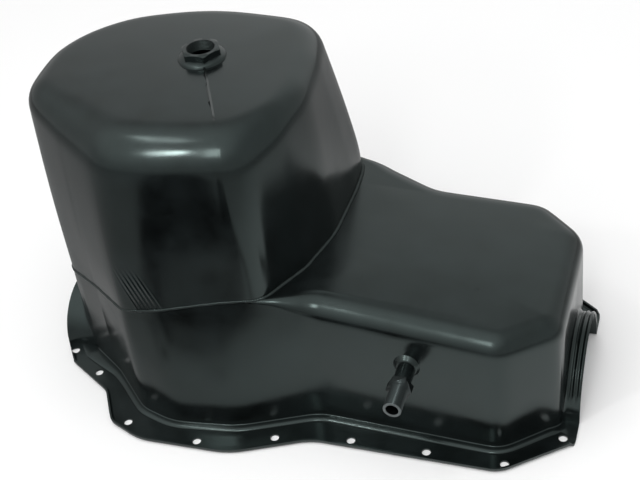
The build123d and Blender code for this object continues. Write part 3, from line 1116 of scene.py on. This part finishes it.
@dataclass
class Studio:
    """Pale floor, soft light and the camera."""

    camera_place: tuple[float, float, float] = (391.477, -952.435, 942.703)
    focal_pixels: float = 1258.336
    image_width: float = 640.0
    pitch_degrees: float = 37.843
    heading_degrees: float = 21.749
    roll_degrees: float = -7.669
    floor_colour: str = "#f6f6f6"
    ground_size: float = 6.0
    card_height: float = 0.0005
    # Tones of the reflection card, a painted reflection: its pale spot, its black ragged patch and how far each
    # reaches.
    pale_place: tuple[float, float, float] = (0.25, -0.10, 0.0)
    dark_place: tuple[float, float, float] = (-0.285, -1.25, 0.0)
    dark_size: tuple[float, float, float] = (0.155, 0.90, 1.0)
    dark_turn_degrees: float = -11.3
    dark_ragged_mm: float = 62.5
    dark_ragged_share: float = 0.55
    dark_edge: tuple[float, float] = (1.12, 1.42)
    pale_reach: tuple[float, float] = (0.10, 0.68)
    pale_tones: tuple[float, float] = (0.88, 0.32)
    world_strength: float = 0.55
    front_glow: tuple[float, float, float] = (-0.25, -0.43, 0.87)
    front_spread: tuple[float, float] = (0.50, 0.7)
    back_glow: tuple[float, float, float] = (0.0, 0.94, 0.34)
    back_spread: tuple[float, float] = (0.80, 0.35)

    def camera(self) -> None:
        """Places the camera."""
        pitch, heading, roll = (math.radians(a) for a in (self.pitch_degrees, self.heading_degrees,
                                                          self.roll_degrees))
        forward = Vector((-math.sin(heading) * math.cos(pitch), math.cos(heading) * math.cos(pitch),
                          -math.sin(pitch)))
        level = Vector((math.cos(heading), math.sin(heading), 0))
        upright = level.cross(forward)
        right = level * math.cos(roll) + upright * math.sin(roll)
        up = upright * math.cos(roll) - level * math.sin(roll)
        data = bpy.data.cameras.new("camera")
        data.sensor_width = 36.0
        data.lens = self.focal_pixels / self.image_width * data.sensor_width
        data.clip_end = 50.0
        camera = bpy.data.objects.new("camera", data)
        turn = Matrix((right, up, -forward)).transposed().to_4x4()
        camera.matrix_world = Matrix.Translation(Vector(self.camera_place) * MM) @ turn
        bpy.context.scene.collection.objects.link(camera)
        bpy.context.scene.camera = camera

    def ground(self, name: str) -> bpy.types.Object:
        """Lays a flat square under the pan."""
        mesh = bmesh.new()
        bmesh.ops.create_grid(mesh, x_segments=1, y_segments=1, size=self.ground_size)
        return placed(name, mesh)

    def floor(self) -> None:
        """Lays the floor."""
        floor = self.ground("floor")
        material, tree = blank_material("matt_paper")
        shader = add_node(tree, "ShaderNodeBsdfDiffuse", {}, {"Color": linear(self.floor_colour)})
        add_node(tree, "ShaderNodeOutputMaterial", {}, {"Surface": shader.outputs["BSDF"]})
        floor.data.materials.append(material)

    def reflection_card(self) -> None:
        """Lays a dark card round the pan that only reflections see: a painted reflection, black in a ragged
        patch in front of the pan's left end, grey round it and palest near the right of the pan's middle.
        """
        card = self.ground("reflection_card")
        card.data.transform(Matrix.Translation((0, 0, self.card_height)))
        card.visible_camera = False
        card.visible_diffuse = False
        card.visible_shadow = False
        card.visible_transmission = False
        material, tree = blank_material("dark_card")
        place = add_node(tree, "ShaderNodeTexCoord").outputs["Object"]
        patch = add_node(tree, "ShaderNodeMapping", {"vector_type": "TEXTURE"},
                         {"Vector": place, "Location": self.dark_place, "Scale": self.dark_size,
                          "Rotation": (0.0, 0.0, math.radians(self.dark_turn_degrees))})
        size = add_node(tree, "ShaderNodeVectorMath", {"operation": "ABSOLUTE"}, {0: patch.outputs["Vector"]})
        sides = add_node(tree, "ShaderNodeSeparateXYZ", {}, {0: size.outputs["Vector"]})
        far = math_value(tree, "SMOOTH_MAX", sides.outputs["X"], sides.outputs["Y"], 0.3)
        ragged = noise_value(tree, place, self.dark_ragged_mm, Detail=4.0)
        rim = math_value(tree, "MULTIPLY_ADD", ragged, self.dark_ragged_share, far)
        clear = mapped(tree, rim, self.dark_edge, soft=True)
        away = vector_value(tree, "DISTANCE", place, self.pale_place)
        pale = mapped(tree, away, self.pale_reach, self.pale_tones, soft=True)
        # painted reflection: black inside the patch, elsewhere grey that is palest near the pan
        tone = math_value(tree, "MULTIPLY", clear, pale)
        shader = add_node(tree, "ShaderNodeBsdfDiffuse", {}, {"Color": tone})
        add_node(tree, "ShaderNodeOutputMaterial", {}, {"Surface": shader.outputs["BSDF"]})
        card.data.materials.append(material)

    def lamp(self, name: str, place: tuple[float, float, float], size: tuple[float, float], power: float,
             mirrored: bool = True) -> None:
        """Hangs a soft box that faces the pan.

        Args:
            name: name of the lamp.
            place: centre, in metres.
            size: width and height, in metres.
            power: light power, in watts.
            mirrored: whether the gloss surfaces mirror the lamp itself.
        """
        data = bpy.data.lights.new(name, "AREA")
        data.shape = "RECTANGLE"
        data.size, data.size_y = size
        data.energy = power
        lamp = bpy.data.objects.new(name, data)
        lamp.location = place
        lamp.visible_glossy = mirrored
        lamp.rotation_euler = (Vector((0, 0, 0.15)) - Vector(place)).to_track_quat("-Z", "Y").to_euler()
        bpy.context.scene.collection.objects.link(lamp)

    def world(self) -> None:
        """Surrounds the pan with soft white light."""
        world = bpy.data.worlds.new("studio")
        bpy.context.scene.world = world
        world.use_nodes = True
        tree = world.node_tree
        tree.nodes.clear()
        heading = add_node(tree, "ShaderNodeTexCoord").outputs["Generated"]
        strength = self.world_strength
        for toward, narrow, gain in ((self.front_glow, *self.front_spread), (self.back_glow, *self.back_spread)):
            near = vector_value(tree, "DOT_PRODUCT", heading, toward)
            glow = mapped(tree, near, (narrow, 1.0), (0.0, gain), soft=True)
            strength = math_value(tree, "ADD", strength, glow)
        soft = add_node(tree, "ShaderNodeBackground", {}, {"Color": (1, 1, 1, 1), "Strength": strength})
        add_node(tree, "ShaderNodeOutputWorld", {}, {"Surface": soft.outputs[0]})

    def build(self) -> None:
        """Sets up the studio."""
        self.camera()
        self.floor()
        self.world()
        self.reflection_card()
        self.lamp("key_spot", (-0.215, -0.516, 0.725), (0.04, 0.09), 0.8)
        self.lamp("far_spot", (0.10, -2.15, 2.33), (0.42, 0.90), 9.5)
        self.lamp("top_box", (-0.595, -0.373, 1.717), (0.42, 0.12), 1.3)
        self.lamp("floor_wash", (0.3, -0.2, 2.6), (3.0, 3.0), 19.5, mirrored=False)
        bpy.context.scene.view_settings.view_transform = "Standard"


def main() -> None:
    """Builds the pieces and the studio."""
    logging.basicConfig(level=logging.INFO, format="%(name)s %(message)s")
    enamel = CoatedSteel("black_electro_coat").build()
    drawn = CoatedSteel("drawn_electro_coat", wrinkle_depth_mm=0.45).build()
    weld = CoatedSteel("coated_weld_bead", roughness_low=0.24, roughness_high=0.4, wave_depth_mm=0.0).build()
    boss = CoatedSteel("coated_turned_steel", roughness_low=0.18, roughness_high=0.3, wave_depth_mm=0.0,
                       thread_pitch_mm=1.5).build()
    steel = MachinedSteel("blackened_turned_steel").build()
    UpperTray(enamel).build()
    SumpBowl(drawn).build()
    SeamBead(weld).build()
    SmallPieces(weld, boss, steel).build()
    Studio().build()


if __name__ == "__main__":
    main()
